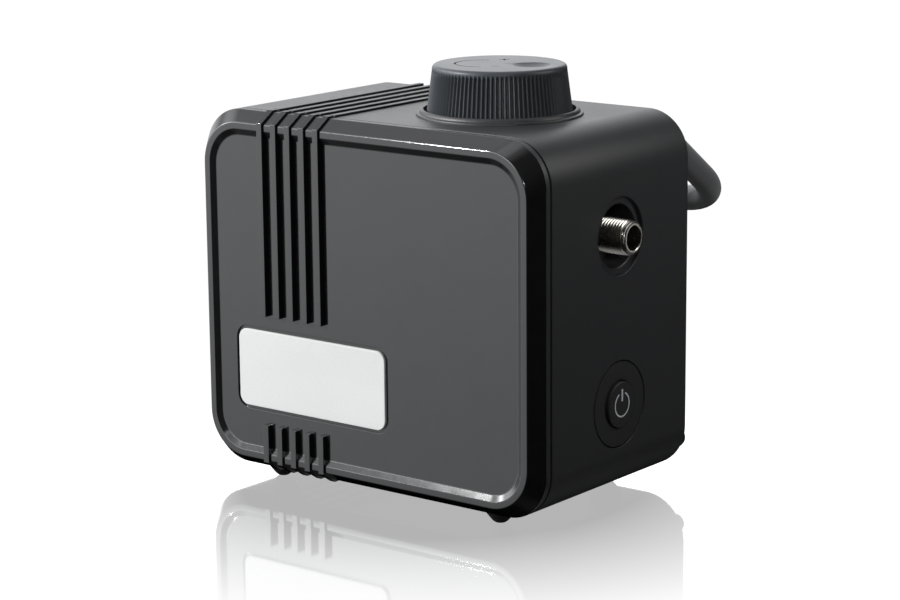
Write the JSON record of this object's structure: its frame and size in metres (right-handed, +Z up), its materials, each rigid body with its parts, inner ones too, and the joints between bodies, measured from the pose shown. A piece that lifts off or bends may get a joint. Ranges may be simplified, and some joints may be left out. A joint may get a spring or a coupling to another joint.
{
  "type": "airbrush compressor",
  "caption": "Small boxed diaphragm air compressor with a gloss front cover, a regulator knob on top, a threaded side outlet, a power button and a rubber-covered rear loop for an airbrush.",
  "frame": {"origin": "on the ground, under the middle of the case", "axes": "+Z up; the gloss front cover faces -Y; +X is the side with the outlet and the power button"},
  "size_m": [0.1228, 0.106, 0.1201],
  "materials": {
    "case_plastic": "fine matte texture",
    "cover_plastic": "polished gloss",
    "knob_plastic": "fine matte texture",
    "button_plastic": "satin",
    "symbol_print": "printed",
    "badge_metal": "satin anodised",
    "soft_rubber": "matte",
    "sleeve_rubber": "smooth matte",
    "zinc_steel": "zinc plated",
    "spring_steel": "bright wire",
    "plate_steel": "galvanised sheet",
    "nickel": "nickel plated brass",
    "brass": "turned",
    "alloy": "die-cast",
    "nylon": "moulded",
    "switch_plastic": "moulded",
    "board": "solder mask",
    "magnet": "sintered",
    "windings": "enamelled wire on steel",
    "hose": "silicone",
    "lead": "insulated wire"
  },
  "bodies": {
    "case": {"main_housing": "case_plastic", "front_cover": "cover_plastic", "badge_plate": "badge_metal", "cover_screws": "zinc_steel", "rear_cover": "case_plastic", "case_screws": "zinc_steel", "feet": "soft_rubber", "rear_bumpers": "soft_rubber", "airbrush_hanger": "zinc_steel", "hanger_sleeve": "sleeve_rubber", "hanger_anchor": "nylon", "hanger_screws": "zinc_steel", "regulator_nut": "zinc_steel", "regulator_bonnet": "alloy", "regulator_spring": "spring_steel", "regulator_membrane": "soft_rubber", "regulator_body": "alloy", "outlet_fitting": "nickel", "outlet_locknut": "zinc_steel", "outlet_hose": "hose", "button_bezel": "button_plastic", "power_switch": "switch_plastic", "switch_spring": "spring_steel", "circuit_board": "board", "board_parts": "switch_plastic", "dc_jack": "nylon", "jack_pin": "zinc_steel", "chassis_plate": "plate_steel", "rubber_mounts": "soft_rubber", "motor_cradle": "plate_steel", "motor_strap": "zinc_steel", "motor_can": "plate_steel", "motor_end_cap": "nylon", "motor_magnets": "magnet", "motor_bushes": "brass", "crankcase": "alloy", "pump_diaphragm": "soft_rubber", "valve_plate": "alloy", "reed_valves": "zinc_steel", "pump_head": "alloy", "head_screws": "zinc_steel", "intake_filter": "nylon", "air_hose": "hose", "hose_clips": "zinc_steel", "motor_leads": "lead"},
    "knob": {"regulator_knob": "knob_plastic", "regulator_screw": "brass"},
    "seat": {"regulator_seat": "brass"},
    "button": {"power_button": "button_plastic", "power_symbol": "symbol_print"},
    "rotor": {"motor_shaft": "spring_steel", "motor_rotor": "windings", "cooling_fan": "nylon", "crank_hub": "alloy"},
    "rod": {"connecting_rod": "alloy", "rod_clamp": "zinc_steel", "crank_bearing": "spring_steel"}
  },
  "joints": [
    {"name": "knob_turn", "type": "hinge", "parent": "case", "child": "knob", "pos_m": [0.019, 0.0025, 0.1062], "axis": [0, 0, -1], "range_deg": [0, 300]},
    {"name": "seat_travel", "type": "slide", "parent": "case", "child": "seat", "axis": [0, 0, -1], "range_m": [0, 0.00126], "deforming": ["regulator_spring"]},
    {"name": "button_press", "type": "slide", "parent": "case", "child": "button", "axis": [-1, 0, 0], "range_m": [0, 0.0012], "stiffness_N_per_m": 600, "springref_m": -0.001},
    {"name": "motor_spin", "type": "hinge", "parent": "case", "child": "rotor", "pos_m": [0, 0, 0.0335], "axis": [1, 0, 0], "continuous": true},
    {"name": "rod_orbit", "type": "hinge", "parent": "rotor", "child": "rod", "pos_m": [-0.035, 0, 0.0351], "axis": [1, 0, 0], "continuous": true}
  ],
  "couplings": [
    {"joint": "seat_travel", "follows": "knob_turn", "m_per_rad": 0.00023873},
    {"joint": "rod_orbit", "follows": "motor_spin", "ratio": -1}
  ]
}
